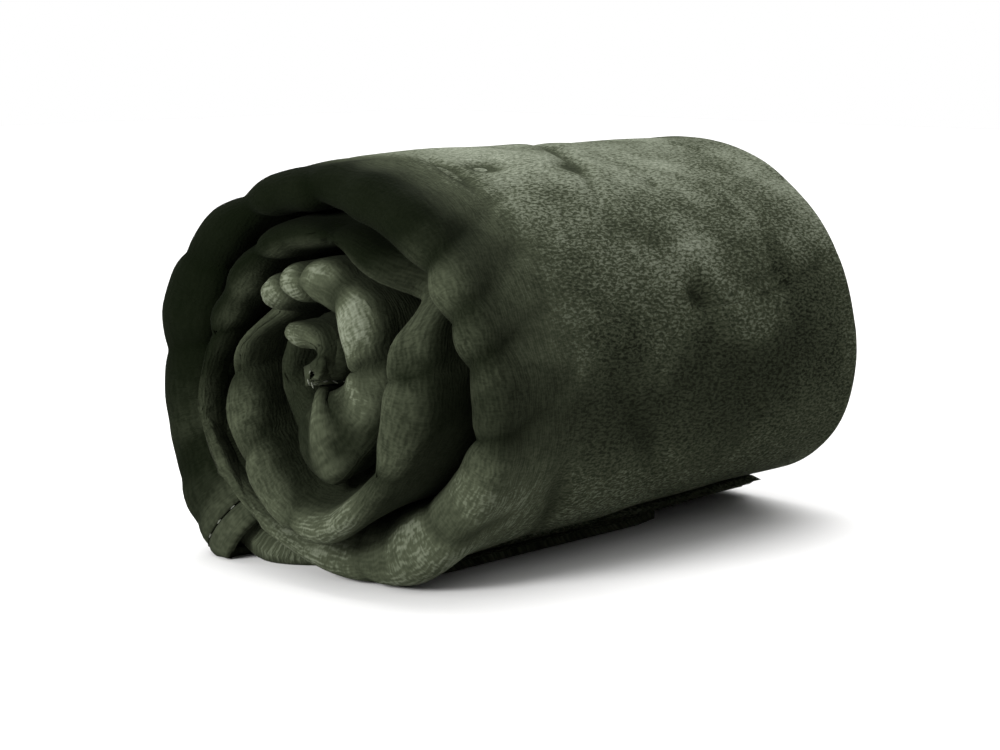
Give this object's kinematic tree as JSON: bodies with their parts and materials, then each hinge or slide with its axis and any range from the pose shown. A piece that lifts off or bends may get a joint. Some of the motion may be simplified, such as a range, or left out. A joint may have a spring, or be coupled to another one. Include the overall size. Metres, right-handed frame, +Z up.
{
  "type": "rolled camp blanket",
  "caption": "Plush fleece blanket folded in four plies and wound into a loose roll that lies on its tucked free end, with turned-up stitched hems.",
  "frame": {"origin": "on the floor, under the centre of the roll's bounding box", "axes": "+Y along the roll's axis, away from the end that shows the fold edges; +Z up; the tucked free edge reaches towards +X"},
  "size_m": [0.2228, 0.318, 0.1972],
  "materials": {
    "fleece": "dark olive plush pile, brushed, with a soft grey-green sheen",
    "hem_fleece": "the same plush pile, doubled and pressed flatter",
    "thread": "matching polyester sewing thread",
    "label_tape": "blank woven tape"
  },
  "bodies": {
    "root": {"fleece_panel": "fleece", "hem_side_outer": "hem_fleece", "hem_side_nested": "hem_fleece", "hem_core_end": "hem_fleece", "hem_free_end": "hem_fleece", "stitching_side_outer": "thread", "stitching_side_nested": "thread", "stitching_core_end": "thread", "stitching_free_end": "thread", "care_label": "label_tape"}
  },
  "joints": []
}
